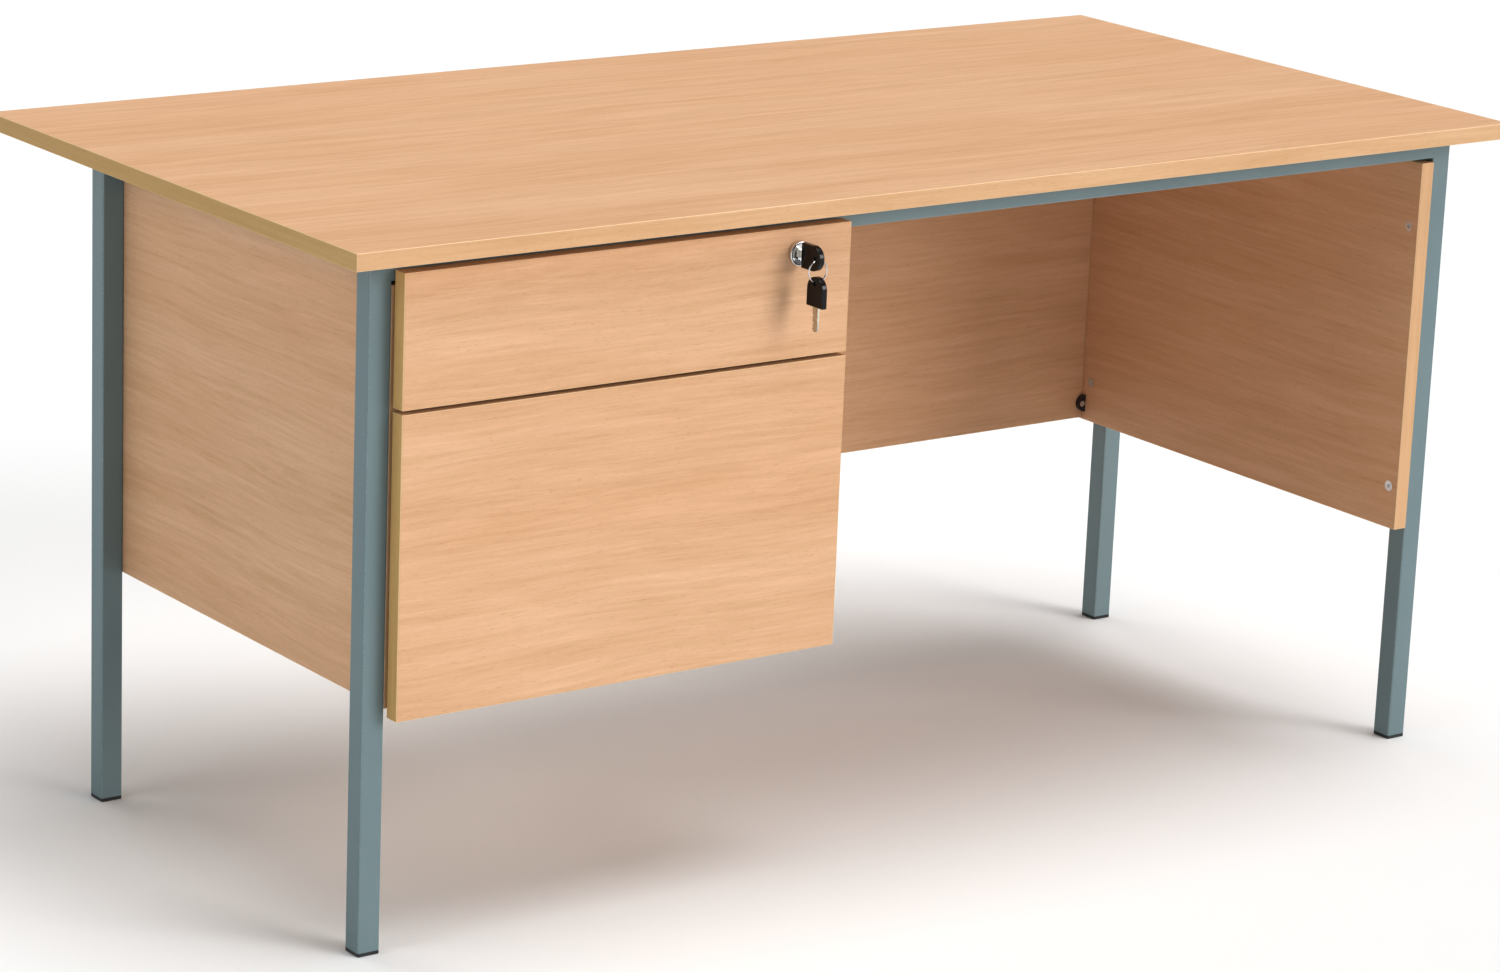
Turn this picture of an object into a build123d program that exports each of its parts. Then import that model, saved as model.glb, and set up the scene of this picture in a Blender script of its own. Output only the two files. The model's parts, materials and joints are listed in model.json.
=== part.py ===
from build123d import *
import os

# A school teacher's desk: a laminated desktop on a welded square tube frame, two end panels and a
# modesty panel, and a fixed pedestal with a shallow lockable drawer over a deep filing drawer.
#
# All sizes are in millimetres. The pieces are laid out from the desktop's front left corner at
# floor level, +X to the sitter's right, +Y to the back and +Z up. save() then moves them so that
# the origin is on the floor under the middle of the whole object, hanging keys included.

# Desktop and boards
TOP_WIDTH = 1500
TOP_DEPTH = 750
TOP_HEIGHT = 728
BOARD = 18
EDGE = 2
ARRIS = 1
OVERCUT = 1

# Steel frame
TUBE = 25
SIDE_RAIL_TUBE = 20
WALL = 1.5
TUBE_ROUND = 2
SIDE_OVERHANG = 43
FRONT_OVERHANG = 46
REAR_OVERHANG = 148
CAP_FLANGE = 4
CAP_PLUG = 20
CAP_PLUG_PLAY = 1.5
CAP_RIBS = 3
CAP_RIB_PLAY = 0.2

# End panels, modesty panel and pedestal carcass
PANEL_BOTTOM = 255
PANEL_TOP = 681
PANEL_AHEAD = 2
MODESTY_LIFT = 2
MODESTY_GAP = 1
CHEEK_SET_BACK = 4
PANELS = ("end_panel_left", "end_panel_right", "modesty_panel", "pedestal_cheek")
DRAWER_FRONT_X = (69, 601)

# Drawer fronts
FRONT_FACE = 25
UPPER_FRONT_Z = (561, 697)
FILING_FRONT_Z = (247, 557)

# Drawer boxes
SIDE_GAP = 12.7
BOX_WALL = 12
BOX_DEPTH = 500
UPPER_BOX_Z = (573, 655)
FILING_BOX_Z = (285, 520)
BASE_THICKNESS = 4
BASE_LIFT = 8
GROOVE = 6
GROOVE_PLAY = 0.2

# Roller runners of the upper drawer
SHEET = 1.2
RUNNER_HEIGHT = 20
RUNNER_Y = (3, 502)
ROLLER_RADIUS = 9
ROLLER_WIDTH = 6
ROLLER_BORE = 2.6
ROLLER_PIN = 2.5
ROLLER_PLAY = 0.3
ROLLER_STANDOFF = 1
PIN_HEAD = 4
PIN_REACH = 7.2
PIN_HEAD_WIDTH = 0.9
CHANNEL_REACH = 10.6
CHANNEL_HEADROOM = 0.5
CHANNEL_FRONT = 50
FRONT_ROLLER_Y = 60
REAR_ROLLER_Y = 535
RUNNING_FLANGE = 7.3

# Telescopic runners of the filing drawer
TELESCOPE_Z = 330
TELESCOPE_HALF_HEIGHT = 22.5
TELESCOPE_Y = (5, 503)
TELESCOPE_REACH = 10
TELESCOPE_WEB_X = 5
TELESCOPE_LIP_X = (2.6, 7.2)
BALL_GAP = 3

# Files hang on two bars, spaced for foolscap folders
FILE_BAR_SPACING = 385
FILE_BAR_WIDTH = 2.5
FILE_BAR_DEPTH = 16
FILE_BAR_RISE = 4
FILE_BAR_TIP = 11
FILE_BAR_PLAY = 1

# Lock in the upper drawer's front
LOCK_X = 535
LOCK_Z = 670.5
BEZEL_RADIUS = 13
BEZEL_THICKNESS = 5
BEZEL_ROUND = 1.2
DISH_RADIUS = 11
DISH_DEPTH = 2.5
BARREL_RADIUS = 9.5
BARREL_TAIL = 4.5
CORE_RADIUS = 6.4
CORE_PLAY = 0.1
NUT_FLATS = 24
NUT_THICKNESS = 3
TONGUE_START = 48.2
TONGUE_THICKNESS = 2
TONGUE_REACH = 30
TONGUE_WIDTH = 10
TONGUE_EYE = 6
TONGUE_SQUARE = 6
TONGUE_PLAY = (0.6, 2)

# Keys and ring
BOW_WIDTH = 26
BOW_LENGTH = 31
BOW_THICKNESS = 7
BOW_ROUND = 1.2
BOW_START = 16
BOW_HOLE = 2.75
BOW_HOLE_INSET = 6.5
BLADE_WIDTH = 8.4
BLADE_THICKNESS = 2.2
BLADE_LENGTH = 26
TANG = 10
BITTING = (1.6, 0.9, 2.1, 1.3)
FIRST_BIT = 9
BIT_STEP = 4
BIT_SLOPE = 1.6
KEYWAY_PLAY = 0.15
TANG_PLAY = 0.2
RING_RADIUS = 11.2
RING_WIRE = 0.8
RING_DROP = 0.9

# Fasteners
PANEL_SCREW_Z = (304, 607)
PANEL_SCREW = dict(radius=3, length=30, head=6, socket=2.3)
BLOCK_SCREW = dict(radius=2, length=14, head=3.6, socket=1.5)
TOP_SCREW = dict(radius=2.5, length=14, head=5, height=3)
TOP_SCREW_STEPS = (0.08, 0.42, 0.66, 0.92)
ACCESS_RADIUS = 6
WOOD_SCREW = dict(radius=1.75, length=14, head=3.5, height=1.8)
RUNNER_SCREW_Y = (50, 255, 440)
FRONT_SCREW = dict(radius=2, length=24, head=4, height=2.4)
FRONT_SCREW_X = (40, -60)
FRONT_SCREW_Z = (22, -16)
TONGUE_SCREW = dict(radius=2, length=6, head=3.8, height=2.4)
HOLE_PLAY = 0.15
SOCKET_DEPTH = 2.4
CONNECTOR_RADIUS = 10.5
CONNECTOR_DEPTH = 6
CONNECTOR_LOW = 21
CONNECTOR_HIGH = 31
CONNECTOR_SCREW_INSET = 4.8
BRACKET_WIDTH = 40
BRACKET_LEGS = (27, 58)
BRACKET_SHEET = 2
BRACKET_Y = (150, 480)
BRACKET_SCREW_DROP = 12

# Places worked out from the sizes above
TOP_UNDERSIDE = TOP_HEIGHT - BOARD
RAIL_Z = TOP_UNDERSIDE - TUBE / 2
SIDE_RAIL_Z = TOP_UNDERSIDE - SIDE_RAIL_TUBE / 2
LEG_X = (SIDE_OVERHANG + TUBE / 2, TOP_WIDTH - SIDE_OVERHANG - TUBE / 2)
LEG_Y = (FRONT_OVERHANG + TUBE / 2, TOP_DEPTH - REAR_OVERHANG - TUBE / 2)
LEG_NAMES = {"front_left": (0, 0), "front_right": (1, 0), "rear_left": (0, 1), "rear_right": (1, 1)}
MODESTY_FACE = LEG_Y[1] + TUBE / 2 + MODESTY_GAP
PANEL_BACK = MODESTY_FACE + BOARD
LEFT_PANEL_X = (LEG_X[0] + TUBE / 2, LEG_X[0] + TUBE / 2 + BOARD)
RIGHT_PANEL_X = (LEG_X[1] - TUBE / 2 - BOARD, LEG_X[1] - TUBE / 2)
CHEEK_X = (DRAWER_FRONT_X[1] - BOARD, DRAWER_FRONT_X[1])
FRONT_BACK = FRONT_FACE + BOARD
CARCASS_Y = (FRONT_BACK + CHEEK_SET_BACK, MODESTY_FACE)
BAY_X = (LEFT_PANEL_X[1], CHEEK_X[0])
BOX_X = (BAY_X[0] + SIDE_GAP, BAY_X[1] - SIDE_GAP)
BOX_Y = (FRONT_BACK, FRONT_BACK + BOX_DEPTH)
INNER_X = (BOX_X[0] + BOX_WALL, BOX_X[1] - BOX_WALL)
INNER_Y = (BOX_Y[0] + BOX_WALL, BOX_Y[1] - BOX_WALL)
KEY_HOLE_Y = BOW_START - BOW_LENGTH + BOW_HOLE_INSET
KEY_REACH = BOW_WIDTH / 2 - KEY_HOLE_Y
ORIGIN = (TOP_WIDTH / 2, (TOP_DEPTH - KEY_REACH) / 2, 0)
ON_TOP = (Align.CENTER, Align.CENTER, Align.MIN)
HANGING = (Align.CENTER, Align.CENTER, Align.MAX)


def block(x, y, z):
    """Box that fills a (low, high) span on each axis."""
    size = [high - low for low, high in (x, y, z)]
    middle = [(low + high) / 2 for low, high in (x, y, z)]
    return Pos(*middle) * Box(*size)


def group(pieces):
    """Separate solids kept as one node."""
    return Compound(children=[solid for piece in pieces for solid in piece.solids()])


def aim(point, direction):
    """Frame at a point whose +Z looks along a direction."""
    return Plane(origin=point, z_dir=direction)


def fused(pieces):
    """One shape from several that touch or overlap."""
    whole = pieces[0]
    for piece in pieces[1:]:
        whole = whole + piece
    return whole


# ---------------------------------------------------------------- fasteners


def countersunk_screw(radius, length, head, socket):
    """Flat headed hex socket screw along -Z, its head's face at the origin."""
    shank = Cylinder(radius, length, align=HANGING)
    cone = Cone(radius, head, head - radius, align=HANGING)
    recess = extrude(RegularPolygon(socket, 6), -SOCKET_DEPTH)
    return shank + cone - recess


def countersunk_hole(radius, length, head, socket):
    """What a countersunk screw takes away from the boards it goes through."""
    shank = Cylinder(radius + HOLE_PLAY, length + HOLE_PLAY, align=HANGING)
    wide = head + HOLE_PLAY
    cone = Cone(radius + HOLE_PLAY, wide, wide - radius - HOLE_PLAY, align=HANGING)
    return shank + cone


def pan_screw(radius, length, head, height):
    """Pan head screw along -Z, with a cross recess and the underside of its head at the origin."""
    dome = fillet(Cylinder(head, height, align=ON_TOP).edges().sort_by(Axis.Z)[-1], height / 2)
    bar = Pos(0, 0, height) * Box(head, radius / 2, height, align=(Align.CENTER,) * 3)
    shank = Cylinder(radius, length, align=HANGING)
    return dome + shank - bar - Rot(0, 0, 90) * bar


def pan_hole(radius, length, head, height):
    """Straight hole for a pan head screw."""
    return Cylinder(radius + HOLE_PLAY, length + HOLE_PLAY, align=HANGING)


def panel_screw_frames():
    """Screws that hold each end panel to its two legs, heads inside the desk."""
    frames = []
    for face, into in ((LEFT_PANEL_X[1], 1), (RIGHT_PANEL_X[0], -1)):
        for y in LEG_Y:
            for z in PANEL_SCREW_Z:
                frames.append(aim((face, y, z), (into, 0, 0)))
    return frames


def top_screw_spots():
    """Where the desktop's screws stand on the front and rear rails."""
    span = LEG_X[1] - LEG_X[0]
    return [(LEG_X[0] + part * span, y) for y in LEG_Y for part in TOP_SCREW_STEPS]


def top_screw_frames():
    """Screws up through the rails' upper walls into the desktop, heads inside the tube."""
    return [aim((x, y, TOP_UNDERSIDE - WALL), (0, 0, -1)) for x, y in top_screw_spots()]


def access_holes():
    """Holes in the rails' lower walls that let the desktop's screws in."""
    low = TOP_UNDERSIDE - TUBE - OVERCUT
    hole = Cylinder(ACCESS_RADIUS, WALL + 2 * OVERCUT, align=ON_TOP)
    return [Pos(x, y, low) * hole for x, y in top_screw_spots()]


def connector_places():
    """Face that each corner block backs on to, the side it stands on, and its height."""
    in_bay = PANEL_BOTTOM + BOARD + CONNECTOR_LOW
    in_kneehole = PANEL_BOTTOM + CONNECTOR_LOW
    faces = (
        (LEFT_PANEL_X[1], 1, in_bay),
        (CHEEK_X[0], -1, in_bay),
        (CHEEK_X[1], 1, in_kneehole),
        (RIGHT_PANEL_X[0], -1, in_kneehole),
    )
    top = PANEL_TOP - CONNECTOR_HIGH
    return [(face, into, z) for face, into, low in faces for z in (low, top)]


def connector_screw_frames():
    """Screws through the corner blocks into the modesty panel."""
    front = MODESTY_FACE - CONNECTOR_DEPTH
    return [
        aim((face + into * CONNECTOR_SCREW_INSET, front, z), (0, -1, 0))
        for face, into, z in connector_places()
    ]


def runner_screw_frames():
    """Screws that hold the fixed runner members to the end panel and the cheek."""
    frames = []
    for face, into in ((BAY_X[0] + SHEET, 1), (BAY_X[1] - SHEET, -1)):
        for y in RUNNER_SCREW_Y:
            for z in (roller_z(), TELESCOPE_Z):
                frames.append(aim((face, BOX_Y[0] + y, z), (into, 0, 0)))
    return frames


def bracket_screw_frames():
    """Screws that hold the angle brackets to the cheek and up to the desktop."""
    frames = []
    inner = CHEEK_X[0] - BRACKET_SHEET
    for middle in BRACKET_Y:
        for side in (-1, 1):
            y = middle + side * BRACKET_WIDTH / 4
            frames.append(aim((inner, y, PANEL_TOP - BRACKET_SCREW_DROP), (-1, 0, 0)))
            x = CHEEK_X[0] - BRACKET_LEGS[0] / 2
            frames.append(aim((x, y, TOP_UNDERSIDE - BRACKET_SHEET), (0, 0, -1)))
    return frames


def front_screw_frames(box_z):
    """Screws through a drawer's inner front into its decorative front."""
    heights = [edge + inset for edge, inset in zip(box_z, FRONT_SCREW_Z)]
    sides = [edge + inset for edge, inset in zip(INNER_X, FRONT_SCREW_X)]
    return [aim((x, INNER_Y[0], z), (0, 1, 0)) for x in sides for z in heights]


def screws(frames, shape, size):
    """Identical screws, one in each frame."""
    return group([frame * shape(**size) for frame in frames])


def drilled(board, frames, hole, size):
    """A board less the screw holes that reach it."""
    for frame in frames:
        board = board - frame * hole(**size)
    return board


# ---------------------------------------------------------------- boards


def edged_board(*spans, across):
    """Core and four edge bands of a board; across is the axis of its thickness."""
    rounded = fillet(block(*spans).edges(), ARRIS)
    first, second = [axis for axis in range(3) if axis != across]
    inner = list(spans)
    for axis in (first, second):
        low, high = spans[axis]
        inner[axis] = (low + EDGE, high - EDGE)
    bands = []
    for axis in (first, second):
        low, high = spans[axis]
        for ends in ((low, low + EDGE), (high - EDGE, high)):
            strip = list(spans)
            strip[axis] = ends
            if axis == second:
                strip[first] = inner[first]
            bands.append(rounded & block(*strip))
    return block(*inner), group(bands)


def desktop():
    """Desktop with blind holes for its screws."""
    spans = (0, TOP_WIDTH), (0, TOP_DEPTH), (TOP_UNDERSIDE, TOP_HEIGHT)
    core, bands = edged_board(*spans, across=2)
    core = drilled(core, top_screw_frames(), pan_hole, TOP_SCREW)
    core = drilled(core, bracket_screw_frames(), pan_hole, WOOD_SCREW)
    return {"desktop": core, "desktop_edging": bands}


def end_panels():
    """The two panels on the legs' inner faces; the left one stops behind the drawer fronts."""
    shapes = {}
    for name, x, front in (
        ("left", LEFT_PANEL_X, CARCASS_Y[0]),
        ("right", RIGHT_PANEL_X, FRONT_OVERHANG - PANEL_AHEAD),
    ):
        core, bands = edged_board(x, (front, PANEL_BACK), (PANEL_BOTTOM, PANEL_TOP), across=0)
        core = drilled(core, panel_screw_frames(), countersunk_hole, PANEL_SCREW)
        core = drilled(core, runner_screw_frames(), pan_hole, WOOD_SCREW)
        shapes[f"end_panel_{name}"] = core
        shapes[f"end_panel_{name}_edging"] = bands
    return shapes


def modesty_panel():
    """Back panel between the two end panels."""
    x = (LEFT_PANEL_X[1], RIGHT_PANEL_X[0])
    y = (MODESTY_FACE, MODESTY_FACE + BOARD)
    z = (PANEL_BOTTOM + MODESTY_LIFT, PANEL_TOP)
    core, bands = edged_board(x, y, z, across=1)
    core = drilled(core, connector_screw_frames(), countersunk_hole, BLOCK_SCREW)
    return {"modesty_panel": core, "modesty_panel_edging": bands}


def pedestal_carcass():
    """Right cheek and floor of the pedestal; the left end panel is its other cheek."""
    cheek, bands = edged_board(CHEEK_X, CARCASS_Y, (PANEL_BOTTOM, PANEL_TOP), across=0)
    cheek = drilled(cheek, runner_screw_frames() + bracket_screw_frames(), pan_hole, WOOD_SCREW)
    floor = block(BAY_X, CARCASS_Y, (PANEL_BOTTOM, PANEL_BOTTOM + BOARD))
    return {"pedestal_cheek": cheek, "pedestal_cheek_edging": bands, "pedestal_floor": floor}


def cheek_brackets():
    """Steel angles between the cheek and the desktop."""
    out, down = BRACKET_LEGS
    brackets = []
    for middle in BRACKET_Y:
        y = (middle - BRACKET_WIDTH / 2, middle + BRACKET_WIDTH / 2)
        top = (TOP_UNDERSIDE - BRACKET_SHEET, TOP_UNDERSIDE)
        lying = block((CHEEK_X[0] - out, CHEEK_X[0]), y, top)
        face = (CHEEK_X[0] - BRACKET_SHEET, CHEEK_X[0])
        standing = block(face, y, (TOP_UNDERSIDE - down, TOP_UNDERSIDE))
        brackets.append(drilled(lying + standing, bracket_screw_frames(), pan_hole, WOOD_SCREW))
    return group(brackets)


def connector_blocks():
    """Half round plastic blocks in the corners in front of the modesty panel."""
    blocks = []
    for face, into, z in connector_places():
        disc = aim((face, MODESTY_FACE, z), (0, -1, 0)) * Cylinder(
            CONNECTOR_RADIUS, CONNECTOR_DEPTH, align=ON_TOP
        )
        reach = sorted((face, face + into * CONNECTOR_RADIUS))
        depth = (MODESTY_FACE - CONNECTOR_DEPTH, MODESTY_FACE)
        half = disc & block(reach, depth, (z - CONNECTOR_RADIUS, z + CONNECTOR_RADIUS))
        blocks.append(drilled(half, connector_screw_frames(), countersunk_hole, BLOCK_SCREW))
    return group(blocks)


# ---------------------------------------------------------------- frame


def bar(length, size=TUBE):
    """Solid envelope of a square tube, standing at the origin."""
    return extrude(RectangleRounded(size, size, TUBE_ROUND), length)


def tube(length, size=TUBE):
    """Square tube standing at the origin."""
    hollow = size - 2 * WALL
    return bar(length, size) - extrude(Rectangle(hollow, hollow), length)


def leg_bars():
    """Envelopes of the four legs."""
    return [Pos(x, y, 0) * bar(TOP_UNDERSIDE) for x in LEG_X for y in LEG_Y]


def legs():
    """Legs from the foot caps to the desktop's underside."""
    shapes = {}
    for name, (column, row) in LEG_NAMES.items():
        place = Pos(LEG_X[column], LEG_Y[row], CAP_FLANGE)
        leg = place * tube(TOP_UNDERSIDE - CAP_FLANGE)
        shapes[f"leg_{name}"] = drilled(leg, panel_screw_frames(), pan_hole, panel_shank())
    return shapes


def panel_shank():
    """The end panel screws' plain shank."""
    return dict(radius=PANEL_SCREW["radius"], length=PANEL_SCREW["length"], head=0, height=0)


def foot_caps():
    """Ribbed plastic caps that plug the legs' lower ends."""
    hollow = TUBE - 2 * WALL
    foot = fillet(bar(CAP_FLANGE).faces().sort_by(Axis.Z)[0].edges(), ARRIS)
    core = hollow - 2 * CAP_PLUG_PLAY
    fin = hollow - 2 * CAP_RIB_PLAY
    cap = foot + Pos(0, 0, CAP_FLANGE) * Box(core, core, CAP_PLUG, align=ON_TOP)
    for rib in range(CAP_RIBS):
        z = CAP_FLANGE + (rib + 1) * CAP_PLUG / (CAP_RIBS + 1)
        cap = cap + Pos(0, 0, z) * Box(fin, fin, SHEET)
    return {
        f"foot_cap_{name}": Pos(LEG_X[column], LEG_Y[row], 0) * cap
        for name, (column, row) in LEG_NAMES.items()
    }


def tongue_slot():
    """Slot in the front rail's underside that the lock's tongue swings up through."""
    x = (LOCK_X - TONGUE_REACH, LOCK_X + TONGUE_WIDTH)
    front, behind = TONGUE_PLAY
    y = (TONGUE_START - front, TONGUE_START + TONGUE_THICKNESS + behind)
    low = TOP_UNDERSIDE - TUBE
    return block(x, y, (low - OVERCUT, low + WALL + OVERCUT))


def rails():
    """Rails under the desktop, their ends shaped to the rounded legs."""
    long = LEG_X[1] - LEG_X[0]
    short = LEG_Y[1] - LEG_Y[0]
    shapes = {}
    crossing = leg_bars()
    for name, y in (("front", LEG_Y[0]), ("rear", LEG_Y[1])):
        place = aim((LEG_X[0], y, RAIL_Z), (1, 0, 0))
        rail = place * tube(long) - leg_bars() - access_holes()
        shapes[f"rail_{name}"] = drilled(rail, top_screw_frames(), pan_hole, TOP_SCREW)
        crossing.append(place * bar(long))
    for name, x in (("left", LEG_X[0]), ("right", LEG_X[1])):
        place = aim((x, LEG_Y[0], SIDE_RAIL_Z), (0, 1, 0))
        shapes[f"rail_{name}"] = place * tube(short, SIDE_RAIL_TUBE) - crossing
    shapes["rail_front"] = shapes["rail_front"] - tongue_slot()
    return shapes


# ---------------------------------------------------------------- runners


def roller_z():
    """Height of the rollers' axes."""
    return UPPER_BOX_Z[0] - SHEET + RUNNER_HEIGHT - ROLLER_PLAY - ROLLER_RADIUS


def both_sides(left):
    """A left piece of the pedestal bay and its mirror image on the right."""
    middle = (BAY_X[0] + BAY_X[1]) / 2
    return group([left, mirror(left, Plane.YZ.offset(middle))])


def roller_pin(start, reach, y, into):
    """Riveted pin of a roller, from a wall at start, its head past the roller."""
    frame = aim((start, y, roller_z()), (into, 0, 0))
    shaft = frame * Cylinder(ROLLER_PIN, reach, align=ON_TOP)
    head = frame * Pos(0, 0, reach) * Cylinder(PIN_HEAD, PIN_HEAD_WIDTH, align=ON_TOP)
    return shaft + head


def roller(start, y):
    """Nylon roller with a rounded tread, its left face at start."""
    tyre = Cylinder(ROLLER_RADIUS, ROLLER_WIDTH, align=ON_TOP)
    tyre = fillet(tyre.edges(), ARRIS)
    tyre = tyre - Cylinder(ROLLER_BORE, ROLLER_WIDTH, align=ON_TOP)
    return aim((start, y, roller_z()), (1, 0, 0)) * tyre


def upper_runner_channels():
    """Fixed C channels with the front rollers' pins."""
    x = BAY_X[0]
    low = roller_z() - ROLLER_RADIUS - ROLLER_PLAY
    high = roller_z() + ROLLER_RADIUS + ROLLER_PLAY + SHEET + CHANNEL_HEADROOM
    y = (CHANNEL_FRONT, CHANNEL_FRONT + BOX_DEPTH)
    web = block((x, x + SHEET), y, (low - SHEET, high + SHEET))
    bottom = block((x, x + CHANNEL_REACH), y, (low - SHEET, low))
    top = block((x, x + CHANNEL_REACH), y, (high, high + SHEET))
    pin = roller_pin(x + SHEET, PIN_REACH, FRONT_ROLLER_Y, 1)
    channel = drilled(fused([web, bottom, top, pin]), runner_screw_frames(), pan_hole, WOOD_SCREW)
    return both_sides(channel)


def upper_runner_members():
    """Drawer members: an angle under each side with an outward running flange and a rear pin."""
    x = BOX_X[0]
    bottom = UPPER_BOX_Z[0]
    top = bottom + RUNNER_HEIGHT
    y = [BOX_Y[0] + end for end in RUNNER_Y]
    web = block((x - SHEET, x), y, (bottom - SHEET, top))
    under = block((x - SHEET, x + BOX_WALL), y, (bottom - SHEET, bottom))
    running = block((x - SHEET - RUNNING_FLANGE, x), y, (top - SHEET, top))
    pin = roller_pin(x - SHEET, PIN_REACH, REAR_ROLLER_Y, -1)
    return both_sides(fused([web, under, running, pin]))


def front_rollers():
    """Rollers that stay at the front of the fixed channels."""
    return both_sides(roller(BAY_X[0] + SHEET + ROLLER_STANDOFF, FRONT_ROLLER_Y))


def rear_rollers():
    """Rollers that travel on the back of the upper drawer."""
    return both_sides(roller(BOX_X[0] - SHEET - ROLLER_STANDOFF - ROLLER_WIDTH, REAR_ROLLER_Y))


def channel_section(web, half_height, flange, y):
    """C or H section: a web, and flanges between two X places at its top and bottom."""
    pieces = [block(web, y, (TELESCOPE_Z - half_height, TELESCOPE_Z + half_height))]
    for side in (-1, 1):
        edge = TELESCOPE_Z + side * half_height
        pieces.append(block(flange, y, sorted((edge, edge - side * SHEET))))
    return fused(pieces)


def filing_runners():
    """Three nested members on each side of the filing drawer."""
    x = BAY_X[0]
    y = [BOX_Y[0] + end for end in TELESCOPE_Y]
    reach = x + TELESCOPE_REACH
    half = TELESCOPE_HALF_HEIGHT
    outer = channel_section((x, x + SHEET), half, (x, reach), y)
    outer = drilled(outer, runner_screw_frames(), pan_hole, WOOD_SCREW)
    half = half - SHEET - BALL_GAP
    web = x + TELESCOPE_WEB_X
    middle = channel_section((web, web + SHEET), half, (x + TELESCOPE_LIP_X[0], reach), y)
    half = half - SHEET - BALL_GAP
    inner_x = (BOX_X[0] - SHEET, BOX_X[0])
    inner = channel_section(inner_x, half, (x + TELESCOPE_LIP_X[1], BOX_X[0]), y)
    return {
        "filing_runner_outer_members": both_sides(outer),
        "filing_runner_middle_members": both_sides(middle),
        "filing_runner_inner_members": both_sides(inner),
    }


# ---------------------------------------------------------------- drawers


def drawer_base(box_z):
    """Base panel held in grooves on all four sides."""
    z = (box_z[0] + BASE_LIFT, box_z[0] + BASE_LIFT + BASE_THICKNESS)
    x = (INNER_X[0] - GROOVE + GROOVE_PLAY, INNER_X[1] + GROOVE - GROOVE_PLAY)
    y = (INNER_Y[0] - GROOVE + GROOVE_PLAY, INNER_Y[1] + GROOVE - GROOVE_PLAY)
    return block(x, y, z)


def base_groove(box_z):
    """Space that the base's edges need in the box's walls."""
    low = box_z[0] + BASE_LIFT - GROOVE_PLAY
    x = (INNER_X[0] - GROOVE, INNER_X[1] + GROOVE)
    y = (INNER_Y[0] - GROOVE, INNER_Y[1] + GROOVE)
    return block(x, y, (low, low + BASE_THICKNESS + 2 * GROOVE_PLAY))


def drawer_box(name, box_z):
    """Two sides, inner front, back and base."""
    groove = base_groove(box_z)
    left = block((BOX_X[0], INNER_X[0]), BOX_Y, box_z) - groove
    right = block((INNER_X[1], BOX_X[1]), BOX_Y, box_z) - groove
    inner_front = block(INNER_X, (BOX_Y[0], INNER_Y[0]), box_z) - groove
    inner_front = drilled(inner_front, front_screw_frames(box_z), pan_hole, FRONT_SCREW)
    back = block(INNER_X, (INNER_Y[1], BOX_Y[1]), box_z) - groove
    return {
        f"{name}_side_left": left,
        f"{name}_side_right": right,
        f"{name}_inner_front": inner_front,
        f"{name}_back": back,
        f"{name}_base": drawer_base(box_z),
        f"{name}_front_screws": screws(front_screw_frames(box_z), pan_screw, FRONT_SCREW),
    }


def drawer_front(name, front_z, box_z):
    """Decorative front with its edge bands."""
    y = (FRONT_FACE, FRONT_BACK)
    core, bands = edged_board(DRAWER_FRONT_X, y, front_z, across=1)
    core = drilled(core, front_screw_frames(box_z), pan_hole, FRONT_SCREW)
    return {f"{name}_front": core, f"{name}_front_edging": bands}


def upper_drawer():
    """Shallow drawer, its front bored for the lock."""
    shapes = drawer_box("upper_drawer", UPPER_BOX_Z)
    shapes.update(drawer_front("upper_drawer", UPPER_FRONT_Z, UPPER_BOX_Z))
    bore = aim((LOCK_X, FRONT_FACE, LOCK_Z), (0, 1, 0)) * Cylinder(
        BARREL_RADIUS + HOLE_PLAY, BOARD, align=ON_TOP
    )
    shapes["upper_drawer_front"] = shapes["upper_drawer_front"] - bore
    return shapes


def file_bars():
    """Two bars that run front to back and rest on the inner front and the back."""
    middle = (BOX_X[0] + BOX_X[1]) / 2
    top = FILING_BOX_Z[1] + FILE_BAR_RISE
    bars = []
    for side in (-1, 1):
        x = middle + side * FILE_BAR_SPACING / 2
        span = (x - FILE_BAR_WIDTH / 2, x + FILE_BAR_WIDTH / 2)
        between = (INNER_Y[0] + FILE_BAR_PLAY, INNER_Y[1] - FILE_BAR_PLAY)
        deep = block(span, between, (top - FILE_BAR_DEPTH, top))
        ends = (INNER_Y[0] - FILE_BAR_TIP, INNER_Y[1] + FILE_BAR_TIP)
        bars.append(deep + block(span, ends, (FILING_BOX_Z[1], top)))
    return group(bars)


def filing_drawer():
    """Deep drawer for hanging files."""
    shapes = drawer_box("filing_drawer", FILING_BOX_Z)
    shapes.update(drawer_front("filing_drawer", FILING_FRONT_Z, FILING_BOX_Z))
    shapes["file_bars"] = file_bars()
    return shapes


# ---------------------------------------------------------------- lock and keys


def at_lock(y):
    """Frame on the lock's axis at a depth, +Z towards the back."""
    return Plane(origin=(LOCK_X, y, LOCK_Z), x_dir=(1, 0, 0), z_dir=(0, 1, 0))


def lock_barrel():
    """Chromed, dished bezel and threaded barrel, bored for the core."""
    bezel = fillet(Cylinder(BEZEL_RADIUS, BEZEL_THICKNESS, align=ON_TOP).edges(), BEZEL_ROUND)
    tail = BEZEL_THICKNESS + BOARD + BARREL_TAIL
    barrel = bezel + Cylinder(BARREL_RADIUS, tail, align=ON_TOP)
    bore = Cylinder(CORE_RADIUS + CORE_PLAY, tail, align=ON_TOP)
    dish = Cone(DISH_RADIUS, CORE_RADIUS + CORE_PLAY, DISH_DEPTH, align=ON_TOP)
    return at_lock(FRONT_FACE - BEZEL_THICKNESS) * (barrel - bore - dish)


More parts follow.
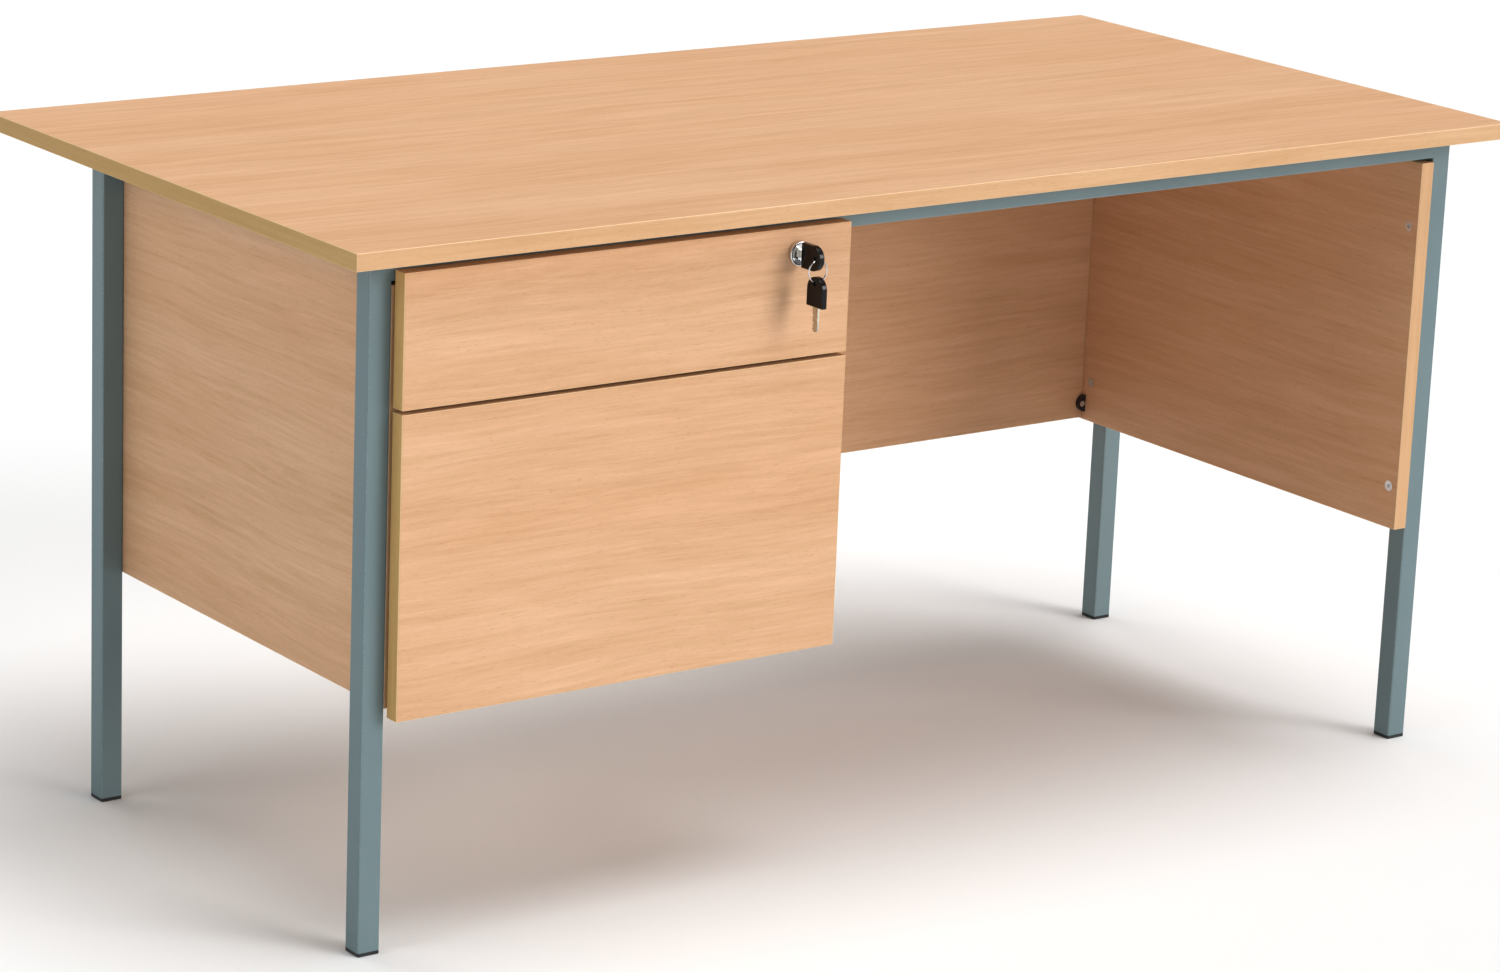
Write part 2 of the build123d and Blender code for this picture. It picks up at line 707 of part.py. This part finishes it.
def lock_nut():
    """Hexagon nut that clamps the barrel to the drawer front."""
    nut = extrude(RegularPolygon(NUT_FLATS / 2, 6, major_radius=False, rotation=30), NUT_THICKNESS)
    hole = Cylinder(BARREL_RADIUS + HOLE_PLAY, NUT_THICKNESS, align=ON_TOP)
    return at_lock(FRONT_BACK) * (nut - hole)


def lock_core():
    """Turning core with the keyway in its face and a square tail for the tongue."""
    start = FRONT_FACE - BEZEL_THICKNESS + DISH_DEPTH
    core = Cylinder(CORE_RADIUS, TONGUE_START - start, align=ON_TOP)
    square = Box(TONGUE_SQUARE, TONGUE_SQUARE, TONGUE_START + TONGUE_THICKNESS - start, align=ON_TOP)
    keyway = Box(
        BLADE_THICKNESS + 2 * KEYWAY_PLAY,
        BLADE_WIDTH + 2 * KEYWAY_PLAY,
        BOW_START + BLADE_LENGTH + OVERCUT - start,
        align=ON_TOP,
    )
    hole = aim_tongue_screw() * pan_hole(**TONGUE_SCREW)
    return at_lock(start) * (core + square - keyway) - hole


def aim_tongue_screw():
    """Frame of the tongue's screw, its head at the back."""
    return aim((LOCK_X, TONGUE_START + TONGUE_THICKNESS, LOCK_Z), (0, 1, 0))


def lock_tongue():
    """Steel tongue, pointing left when unlocked and up when locked."""
    end = TONGUE_REACH - TONGUE_WIDTH / 2
    plate = Pos(-end / 2, 0) * Rectangle(end, TONGUE_WIDTH)
    plate = plate + Pos(-end, 0) * Circle(TONGUE_WIDTH / 2)
    plate = plate + Circle(TONGUE_EYE)
    square = TONGUE_SQUARE + 2 * HOLE_PLAY
    plate = plate - Rectangle(square, square)
    return at_lock(TONGUE_START) * extrude(plate, TONGUE_THICKNESS)


def bow_outline():
    """Key bow with an arched end, its flat end on the X axis and its length along -Y."""
    half = BOW_WIDTH / 2
    straight = BOW_LENGTH - half
    outline = Pos(0, -straight / 2) * Rectangle(BOW_WIDTH, straight)
    return outline + Pos(0, -straight) * Circle(half)


def blade_outline():
    """Key blade along +Y with a tang along -Y, a rounded tip and cut bitting."""
    half = BLADE_WIDTH / 2
    shank = Pos(0, (BLADE_LENGTH - TANG - half) / 2) * Rectangle(
        BLADE_WIDTH, BLADE_LENGTH + TANG - half
    )
    blade = shank + Pos(0, BLADE_LENGTH - half) * Circle(half)
    for step, depth in enumerate(BITTING):
        y = FIRST_BIT + BIT_STEP * step
        foot = BIT_SLOPE + depth
        out = -half - OVERCUT
        notch = Polyline((out, y - foot), (depth - half, y), (out, y + foot), close=True)
        blade = blade - make_face(notch)
    return blade


def key_blade(frame):
    """Nickelled steel blade, centred on the frame's plane."""
    return frame * extrude(blade_outline(), BLADE_THICKNESS / 2, both=True)


def key_bow(frame):
    """Black moulded bow round the blade's tang, with a hole for the ring."""
    bow = extrude(bow_outline(), BOW_THICKNESS / 2, both=True)
    bow = fillet(bow.faces().filter_by(Axis.Z).edges(), BOW_ROUND)
    hole_y = BOW_HOLE_INSET - BOW_LENGTH
    bow = bow - Pos(0, hole_y, 0) * Cylinder(BOW_HOLE, BOW_THICKNESS)
    size = [length + TANG_PLAY for length in (BLADE_WIDTH, TANG, BLADE_THICKNESS)]
    return frame * (bow - Pos(0, -TANG / 2, 0) * Box(*size))


def key_frame():
    """Plane of the key in the lock: blade towards the back, bow upright."""
    return Plane(origin=(LOCK_X, BOW_START, LOCK_Z), x_dir=(0, 0, -1), z_dir=(1, 0, 0))


def spare_key_frame():
    """Plane of the spare key: hanging from the ring, blade down."""
    hole_z = LOCK_Z - RING_DROP - 2 * RING_RADIUS - RING_DROP
    shoulder = hole_z + BOW_HOLE_INSET - BOW_LENGTH
    return Plane(origin=(LOCK_X, KEY_HOLE_Y, shoulder), x_dir=(0, -1, 0), z_dir=(1, 0, 0))


def key_ring():
    """Wire ring through the holes of both keys."""
    centre = (LOCK_X, KEY_HOLE_Y, LOCK_Z - RING_DROP - RING_RADIUS)
    return aim(centre, (0, 1, 0)) * Torus(RING_RADIUS, RING_WIRE)


def lock_and_keys():
    """Lock pieces, the key in it, and the spare key on the ring."""
    return {
        "lock_barrel": lock_barrel(),
        "lock_nut": lock_nut(),
        "lock_core": lock_core(),
        "lock_tongue": lock_tongue(),
        "lock_tongue_screw": aim_tongue_screw() * pan_screw(**TONGUE_SCREW),
        "key_blade": key_blade(key_frame()),
        "key_bow": key_bow(key_frame()),
        "key_ring": key_ring(),
        "spare_key_blade": key_blade(spare_key_frame()),
        "spare_key_bow": key_bow(spare_key_frame()),
    }


# ---------------------------------------------------------------- whole desk


def desk():
    """Every node of the desk by name."""
    nodes = {}
    nodes.update(desktop())
    nodes.update(legs())
    nodes.update(foot_caps())
    nodes.update(rails())
    nodes.update(end_panels())
    nodes.update(modesty_panel())
    nodes.update(pedestal_carcass())
    nodes.update(filing_runners())
    nodes.update(upper_drawer())
    nodes.update(filing_drawer())
    nodes.update(lock_and_keys())
    nodes["panel_edging"] = group([nodes.pop(f"{panel}_edging") for panel in PANELS])
    nodes["cheek_brackets"] = cheek_brackets()
    nodes["connector_blocks"] = connector_blocks()
    nodes["end_panel_screws"] = screws(panel_screw_frames(), countersunk_screw, PANEL_SCREW)
    nodes["connector_screws"] = screws(connector_screw_frames(), countersunk_screw, BLOCK_SCREW)
    nodes["desktop_screws"] = screws(top_screw_frames(), pan_screw, TOP_SCREW)
    board_frames = runner_screw_frames() + bracket_screw_frames()
    nodes["board_screws"] = screws(board_frames, pan_screw, WOOD_SCREW)
    nodes["upper_runner_channels"] = upper_runner_channels()
    nodes["upper_runner_drawer_members"] = upper_runner_members()
    nodes["front_rollers"] = front_rollers()
    nodes["rear_rollers"] = rear_rollers()
    return nodes


def save(nodes):
    """Write one STEP file per node, moved to the desk's own origin."""
    os.makedirs("parts", exist_ok=True)
    x, y, z = ORIGIN
    for name, shape in nodes.items():
        export_step(Pos(-x, -y, -z) * shape, f"parts/{name}.step")


save(desk())
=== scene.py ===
import json
import math

import bpy
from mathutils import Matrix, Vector

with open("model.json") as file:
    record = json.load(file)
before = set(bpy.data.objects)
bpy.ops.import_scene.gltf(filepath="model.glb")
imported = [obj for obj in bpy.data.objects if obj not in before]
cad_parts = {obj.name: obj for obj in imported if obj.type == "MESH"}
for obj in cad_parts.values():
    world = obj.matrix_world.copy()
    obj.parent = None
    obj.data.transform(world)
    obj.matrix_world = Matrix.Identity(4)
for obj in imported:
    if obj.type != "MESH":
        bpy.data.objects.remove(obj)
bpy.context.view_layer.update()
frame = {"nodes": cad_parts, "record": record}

# The CAD model gives every piece of the desk. This script gives each piece its finish, and adds the
# floor, the surroundings, the lights and the camera. Lengths are in metres, angles in degrees.

# ---------------------------------------------------------------- node helpers

AXES = "XYZ"
WHITE = (1.0, 1.0, 1.0)

# Numbers of the Mix node's sockets, for colours and for vectors
COLOUR_INPUTS = (0, 6, 7)
COLOUR_OUTPUT = 2
VECTOR_INPUTS = (0, 4, 5)
VECTOR_OUTPUT = 1

# A face looks along an axis when that part of its normal is longer than this
FACING = 0.72
# Longest part of a normal, on a rounded edge and on a flat face
ARRIS_LIMITS = (0.86, 0.98)
# Where most values of a noise texture lie
NOISE_LIMITS = (0.3, 0.7)


def opaque(colour):
    """Colour with its alpha, if it's a tuple of three."""
    if isinstance(colour, tuple) and len(colour) == 3:
        return (*colour, 1.0)
    return colour


def even(number):
    """The same number on each axis."""
    return (number, number, number)


def along(axis, long, short):
    """Scale for a pattern that is stretched along one axis."""
    return tuple(long if letter == axis else short for letter in AXES)


class Shader:
    """A procedural material: short calls that add and link its nodes."""

    def __init__(self, name, **inputs):
        self.material = bpy.data.materials.new(name)
        self.material.use_nodes = True
        self.tree = self.material.node_tree
        self.bsdf = self.tree.nodes["Principled BSDF"]
        self.coords = self.tree.nodes.new("ShaderNodeTexCoord")
        self.set(**inputs)

    def add(self, kind, settings=None, **inputs):
        """New node with its settings and its inputs, each a value or another node's output."""
        node = self.tree.nodes.new(kind)
        for key, value in (settings or {}).items():
            setattr(node, key, value)
        for key, value in inputs.items():
            self.feed(node.inputs[key.replace("_", " ")], value)
        return node

    def feed(self, socket, value):
        """Set a socket, or link it if the value is an output."""
        if isinstance(value, bpy.types.NodeSocket):
            self.tree.links.new(value, socket)
        else:
            socket.default_value = value

    def feed_all(self, sockets, values):
        """Feed several sockets in order."""
        for socket, value in zip(sockets, values):
            self.feed(socket, value)

    def calculate(self, operation, *values):
        """Result of a Math node."""
        node = self.add("ShaderNodeMath", {"operation": operation})
        self.feed_all(node.inputs, values)
        return node.outputs[0]

    def scaled(self, scale, vector=None):
        """A vector scaled on each axis, the object's coordinates if none is given."""
        source = vector or self.coords.outputs["Object"]
        return self.add("ShaderNodeMapping", Vector=source, Scale=scale).outputs["Vector"]

    def bent(self, scale, reach):
        """Object coordinates pushed about by a slow noise, so that straight streaks wander."""
        drift = self.add("ShaderNodeTexNoise", Vector=self.scaled(scale), Scale=1.0, Detail=2.0)
        node = self.add("ShaderNodeVectorMath", {"operation": "MULTIPLY_ADD"})
        values = (drift.outputs["Color"], even(reach), self.coords.outputs["Object"])
        self.feed_all(node.inputs, values)
        return node.outputs["Vector"]

    def noise(self, vector, detail, roughness=0.55, distortion=0.0):
        """Value of a noise texture, about 0.5 on average."""
        looks = dict(Detail=detail, Roughness=roughness, Distortion=distortion)
        return self.add("ShaderNodeTexNoise", Vector=vector, Scale=1.0, **looks).outputs["Fac"]

    def span(self, value, limits, results=(0.0, 1.0)):
        """Value carried from one range to another, and held inside it."""
        node = self.add("ShaderNodeMapRange", {"clamp": True})
        self.feed_all(node.inputs, (value, *limits, *results))
        return node.outputs["Result"]

    def mix(self, factor, first, second, blend="MIX"):
        """Blend of two colours, each a tuple or an output."""
        node = self.add("ShaderNodeMix", {"data_type": "RGBA", "blend_type": blend})
        sockets = [node.inputs[number] for number in COLOUR_INPUTS]
        self.feed_all(sockets, (factor, opaque(first), opaque(second)))
        return node.outputs[COLOUR_OUTPUT]

    def multiply(self, first, second, factor=1.0):
        """Product of two colours, or part of the way to it."""
        return self.mix(factor, first, second, "MULTIPLY")

    def mix_vectors(self, factor, first, second):
        """Blend of two vectors."""
        node = self.add("ShaderNodeMix", {"data_type": "VECTOR"})
        sockets = [node.inputs[number] for number in VECTOR_INPUTS]
        self.feed_all(sockets, (factor, first, second))
        return node.outputs[VECTOR_OUTPUT]

    def normal_parts(self):
        """Size of a face's normal along each axis, from 0 to 1."""
        normal = self.coords.outputs["Normal"]
        size = self.add("ShaderNodeVectorMath", {"operation": "ABSOLUTE"}, Vector=normal)
        return self.add("ShaderNodeSeparateXYZ", Vector=size.outputs["Vector"]).outputs

    def facing(self, axis):
        """1 where a face looks along an axis, either way, and 0 elsewhere."""
        return self.calculate("GREATER_THAN", self.normal_parts()[axis], FACING)

    def arris(self):
        """1 on rounded edges, 0 on faces square to the axes."""
        x, y, z = self.normal_parts()
        largest = self.calculate("MAXIMUM", self.calculate("MAXIMUM", x, y), z)
        return self.span(largest, ARRIS_LIMITS, (1.0, 0.0))

    def bump(self, height, strength, distance):
        """Surface relief from a height."""
        node = self.add("ShaderNodeBump", Height=height, Strength=strength, Distance=distance)
        self.set(Normal=node.outputs["Normal"])

    def set(self, **inputs):
        """Feed the surface's own sockets, and give the material."""
        for key, value in inputs.items():
            self.feed(self.bsdf.inputs[key.replace("_", " ")], value)
        return self.material


# ---------------------------------------------------------------- beech

# Noise cells per metre of each layer of grain, along the grain and across it
GRAIN_BEND = (2.2, 6)
GRAIN_DRIFT = (1.6, 9)
GRAIN_BANDS = (2.4, 46)
GRAIN_RIPPLE = (7, 210)
GRAIN_FINE = (16, 620)
GRAIN_FLECKS = (120, 1500)

# How far the grain wanders, and what each layer adds to its tone
BEND_REACH = 0.032
BANDS_SHARE = 0.40
RIPPLE_SHARE = 0.36
FINE_SHARE = 0.24

# Values between which each layer goes from none to full
TONE_LIMITS = (0.36, 0.64)
DRIFT_LIMITS = (0.35, 0.65)
FLECK_LIMITS = (0.60, 0.72)

# How much of their own colour the flecks show, and how strong the painted highlight on the rounded
# edges is
FLECK_SHARE = 0.34
ARRIS_HIGHLIGHT_SHARE = 0.55

BEECH_PALE = (0.72, 0.47, 0.305)
BEECH_DEEP = (0.59, 0.358, 0.207)
EDGE_PALE = (0.675, 0.447, 0.268)
EDGE_DEEP = (0.585, 0.363, 0.198)
WARM_TINT = (0.965, 0.925, 0.88)
FLECK_BROWN = (0.40, 0.215, 0.10)
# Painted highlight: the paler colour given to rounded edges
ARRIS_HIGHLIGHT = (0.88, 0.68, 0.47)
# Painted shade, darker and more olive, for edge-band faces that look along X
TOP_END_PAINTED_SHADE = (0.84, 0.87, 0.66)
DRAWER_END_PAINTED_SHADE = (0.98, 1.0, 0.74)


def grain(shader, pick):
    """Slow drift, tone and dark flecks of beech grain; pick gives each layer's coordinates."""
    drift = shader.noise(pick(*GRAIN_DRIFT), detail=3.0)
    bands = shader.noise(pick(*GRAIN_BANDS), detail=6.0, roughness=0.62, distortion=0.35)
    ripple = shader.noise(pick(*GRAIN_RIPPLE), detail=3.0, roughness=0.6)
    fine = shader.noise(pick(*GRAIN_FINE), detail=3.0, roughness=0.7)
    flecks = shader.noise(pick(*GRAIN_FLECKS), detail=2.0, roughness=0.5)
    tone = shader.calculate("MULTIPLY", fine, FINE_SHARE)
    tone = shader.calculate("MULTIPLY_ADD", bands, BANDS_SHARE, tone)
    tone = shader.calculate("MULTIPLY_ADD", ripple, RIPPLE_SHARE, tone)
    return drift, tone, shader.span(flecks, FLECK_LIMITS)


def beech(name, grain_axis, side_axis=None, pale=BEECH_PALE, deep=BEECH_DEEP, painted_end_shade=None):
    """Satin beech laminate or edge band.

    With a side_axis, faces that look along grain_axis have their grain along side_axis.
    The last argument paints shade, a darker and more olive colour, on the faces that look along X.
    """
    shader = Shader(name, Specular_IOR_Level=0.22)
    wandering = shader.bent(along(grain_axis, *GRAIN_BEND), BEND_REACH)

    def pick(long, short):
        main = shader.scaled(along(grain_axis, long, short), wandering)
        if side_axis is None:
            return main
        side = shader.scaled(along(side_axis, long, short))
        return shader.mix_vectors(shader.facing(grain_axis), main, side)

    drift, tone, flecks = grain(shader, pick)
    colour = shader.mix(shader.span(tone, TONE_LIMITS), pale, deep)
    colour = shader.multiply(colour, shader.mix(shader.span(drift, DRIFT_LIMITS), WHITE, WARM_TINT))
    colour = shader.mix(shader.calculate("MULTIPLY", flecks, FLECK_SHARE), colour, FLECK_BROWN)
    # Painted highlight: rounded edges are made paler
    edges = shader.calculate("MULTIPLY", shader.arris(), ARRIS_HIGHLIGHT_SHARE)
    colour = shader.mix(edges, colour, ARRIS_HIGHLIGHT)
    # Painted shade: faces that look along X are made darker and more olive
    if painted_end_shade:
        colour = shader.multiply(colour, painted_end_shade, shader.facing("X"))
    shader.bump(shader.calculate("SUBTRACT", tone, flecks), strength=0.22, distance=0.00035)
    return shader.set(Base_Color=colour, Roughness=shader.span(tone, NOISE_LIMITS, (0.5, 0.6)))


def edge_band(name, grain_axis, side_axis, painted_end_shade=None):
    """Edge band of a board, a little yellower than its faces."""
    return beech(name, grain_axis, side_axis, EDGE_PALE, EDGE_DEEP, painted_end_shade)


# ---------------------------------------------------------------- other materials

PAINT_SPECK = (0.34, 0.42, 0.44)
PAINT_RUBBED = (0.34, 0.43, 0.45)
BOARD_SHADE = (0.9, 0.88, 0.85)


def powder_coat(name, tint, dark):
    """Fine textured paint on steel, a little thinner and brighter on the tube's corners."""
    shader = Shader(name, Specular_IOR_Level=0.5)
    cloud = shader.noise(shader.scaled((6, 6, 3)), detail=3.0)
    speck = shader.noise(shader.scaled(even(2600)), detail=2.0)
    peel = shader.noise(shader.scaled(even(700)), detail=2.0)
    colour = shader.mix(shader.span(cloud, NOISE_LIMITS), tint, dark)
    colour = shader.mix(shader.span(speck, (0.62, 0.8), (0.0, 0.25)), colour, PAINT_SPECK)
    thinness = shader.span(peel, (0.35, 0.75), (0.1, 0.55))
    rubbed = shader.calculate("MULTIPLY", shader.arris(), thinness)
    colour = shader.mix(rubbed, colour, PAINT_RUBBED)
    height = shader.calculate("MULTIPLY_ADD", peel, 0.6, speck)
    shader.bump(height, strength=0.3, distance=0.00012)
    return shader.set(Base_Color=colour, Roughness=shader.span(peel, NOISE_LIMITS, (0.40, 0.52)))


def moulded(name, colour, worn, roughness, bumpiness=0.2, shine=0.5):
    """Moulded plastic with a fine skin and paler, scuffed corners."""
    shader = Shader(name, Specular_IOR_Level=shine)
    skin = shader.noise(shader.scaled(even(1400)), detail=3.0)
    smear = shader.noise(shader.scaled(even(90)), detail=3.0)
    base = shader.mix(shader.span(smear, (0.35, 0.7), (0.0, 0.35)), colour, worn)
    base = shader.mix(shader.calculate("MULTIPLY", shader.arris(), 0.5), base, worn)
    shader.bump(skin, bumpiness, distance=0.00008)
    return shader.set(Base_Color=base, Roughness=shader.span(smear, NOISE_LIMITS, roughness))


def metal(name, colour, shade, roughness, brush=even(300)):
    """Plated metal with a brushed or smeared finish."""
    shader = Shader(name, Metallic=1.0)
    lines = shader.noise(shader.scaled(brush), detail=4.0, roughness=0.65)
    smear = shader.noise(shader.scaled(even(60)), detail=3.0)
    base = shader.mix(shader.span(smear, NOISE_LIMITS), colour, shade)
    shader.bump(lines, strength=0.1, distance=0.00005)
    return shader.set(Base_Color=base, Roughness=shader.span(lines, (0.25, 0.75), roughness))


def pressed_board(name, pale, deep, scale):
    """Plain board with a mottled, fibrous face."""
    shader = Shader(name)
    fibre = shader.noise(shader.scaled((scale, scale, scale * 0.6)), detail=5.0, roughness=0.7)
    cloud = shader.noise(shader.scaled(even(14)), detail=2.0)
    colour = shader.mix(shader.span(fibre, NOISE_LIMITS), pale, deep)
    colour = shader.multiply(colour, shader.mix(cloud, WHITE, BOARD_SHADE))
    shader.bump(fibre, strength=0.2, distance=0.0002)
    return shader.set(Base_Color=colour, Roughness=shader.span(fibre, NOISE_LIMITS, (0.52, 0.66)))


# ---------------------------------------------------------------- finishes

# Each material slot's finish, then those that only some nodes of a slot have
FINISHES = {
    "beech_laminate": beech("beech_grain_x", "X"),
    "drawer_board": pressed_board(
        "drawer_board", pale=(0.70, 0.53, 0.36), deep=(0.61, 0.44, 0.28), scale=130
    ),
    "hardboard": pressed_board(
        "hardboard", pale=(0.47, 0.32, 0.19), deep=(0.36, 0.23, 0.12), scale=420
    ),
    "frame_paint": powder_coat(
        "frame_powder_coat", tint=(0.172, 0.237, 0.252), dark=(0.145, 0.207, 0.225)
    ),
    "black_plastic": moulded(
        "black_plastic",
        colour=(0.012, 0.012, 0.013),
        worn=(0.045, 0.045, 0.047),
        roughness=(0.32, 0.5),
    ),
    "nylon": moulded(
        "white_nylon", colour=(0.78, 0.77, 0.72), worn=(0.66, 0.65, 0.6), roughness=(0.35, 0.5)
    ),
    "bright_chrome": metal(
        "bright_chrome", colour=(0.78, 0.78, 0.79), shade=(0.62, 0.62, 0.64), roughness=(0.04, 0.12)
    ),
    "nickelled_steel": metal(
        "nickelled_steel", colour=(0.66, 0.63, 0.55), shade=(0.5, 0.48, 0.42), roughness=(0.2, 0.36)
    ),
    "screw_steel": metal(
        "screw_steel", colour=(0.82, 0.82, 0.82), shade=(0.68, 0.68, 0.70), roughness=(0.34, 0.5)
    ),
    "zinced_steel": metal(
        "zinced_steel",
        colour=(0.62, 0.64, 0.66),
        shade=(0.5, 0.52, 0.55),
        roughness=(0.26, 0.45),
        brush=(900, 60, 900),
    ),
    "beech_y": beech("beech_grain_y", "Y"),
    # These two edge bands get painted shade on their faces that look along X
    "edge_top": edge_band("beech_edge_top", "X", "Y", TOP_END_PAINTED_SHADE),
    "edge_front": edge_band("beech_edge_front", "X", "Z", DRAWER_END_PAINTED_SHADE),
    "edge_panel": edge_band("beech_edge_panel", "Y", "Z"),
    "key_plastic": moulded(
        "key_plastic",
        colour=(0.007, 0.005, 0.005),
        worn=(0.016, 0.012, 0.012),
        roughness=(0.12, 0.22),
        bumpiness=0.08,
        shine=0.28,
    ),
}

NODE_FINISHES = {
    "desktop_edging": "edge_top",
    "panel_edging": "edge_panel",
    "upper_drawer_front_edging": "edge_front",
    "filing_drawer_front_edging": "edge_front",
    "end_panel_left": "beech_y",
    "end_panel_right": "beech_y",
    "pedestal_cheek": "beech_y",
    "key_bow": "key_plastic",
    "spare_key_bow": "key_plastic",
}


def dress_nodes():
    """Give every CAD node its finish."""
    slots = {part["node"]: part["material_slot"] for part in frame["record"]["subparts"]}
    for name, node in frame["nodes"].items():
        finish = NODE_FINISHES.get(name, slots[name])
        node.data.materials.clear()
        node.data.materials.append(FINISHES[finish])


# ---------------------------------------------------------------- studio

FLOOR_HALF = 30.0
FLOOR_WHITE = (0.81, 0.81, 0.81, 1.0)

CAMERA_PLACE = (-3.0163, -4.0766, 1.7171)
CAMERA_TURN = (74.522, -2.233, -35.751)
LENS = 113.8
SENSOR = 36.0
CLIP_END = 100.0

# Z of the direction where the horizon ends and where the sky begins, and how bright each is
HORIZON_TO_SKY = (0.05, 0.11)
BRIGHTNESS = (1.05, 0.2)
GAMMA = 0.86


def link(name, data):
    """New object in the scene, made from its data."""
    holder = bpy.data.objects.new(name, data)
    bpy.context.scene.collection.objects.link(holder)
    return holder


def add_light(name, place, spread, strength, colour=WHITE):
    """Soft light from far away, so that the whole floor gets the same."""
    data = bpy.data.lights.new(name, "SUN")
    data.energy = strength
    data.angle = math.radians(spread)
    data.color = colour
    holder = link(name, data)
    holder.location = place
    holder.rotation_euler = (-Vector(place)).to_track_quat("-Z", "Y").to_euler()


def add_floor():
    """Plain pale floor, larger than any view."""
    data = bpy.data.meshes.new("floor")
    sides = ((-1, -1), (1, -1), (1, 1), (-1, 1))
    corners = [(x * FLOOR_HALF, y * FLOOR_HALF, 0) for x, y in sides]
    data.from_pydata(corners, [], [(0, 1, 2, 3)])
    shader = Shader("floor", Base_Color=FLOOR_WHITE, Roughness=0.75)
    data.materials.append(shader.material)
    plane = link("floor", data)


def add_camera():
    """Camera at the picture's viewing angle, with a long lens and no shift."""
    data = bpy.data.cameras.new("camera")
    data.sensor_width = SENSOR
    data.lens = LENS
    data.clip_end = CLIP_END
    eye = link("camera", data)
    eye.location = CAMERA_PLACE
    eye.rotation_euler = tuple(math.radians(angle) for angle in CAMERA_TURN)
    bpy.context.scene.camera = eye


def add_world():
    """White surroundings, about as bright as the floor at the horizon and dimmer above it."""
    surroundings = bpy.data.worlds.new("surroundings")
    surroundings.use_nodes = True
    tree = surroundings.node_tree
    direction = tree.nodes.new("ShaderNodeTexCoord").outputs["Generated"]
    parts = tree.nodes.new("ShaderNodeSeparateXYZ")
    fade = tree.nodes.new("ShaderNodeMapRange")
    tree.links.new(direction, parts.inputs["Vector"])
    tree.links.new(parts.outputs["Z"], fade.inputs["Value"])
    names = ("From Min", "From Max", "To Min", "To Max")
    for name, number in zip(names, (*HORIZON_TO_SKY, *BRIGHTNESS)):
        fade.inputs[name].default_value = number
    background = tree.nodes["Background"]
    background.inputs["Color"].default_value = opaque(WHITE)
    tree.links.new(fade.outputs["Result"], background.inputs["Strength"])
    bpy.context.scene.world = surroundings


dress_nodes()
add_floor()
add_camera()
add_world()
add_light("top_light", (0.8, -0.4, 4.0), spread=45, strength=2.35)
add_light("key_light", (1.9, -3.2, 1.35), spread=30, strength=1.95)
add_light("side_fill", (-3.6, 0.0, 1.7), spread=36, strength=0.58, colour=(0.88, 0.98, 1.0))
add_light("back_fill", (-0.8, 3.6, 1.7), spread=50, strength=0.8)
bpy.context.scene.view_settings.view_transform = "Standard"
bpy.context.scene.view_settings.gamma = GAMMA
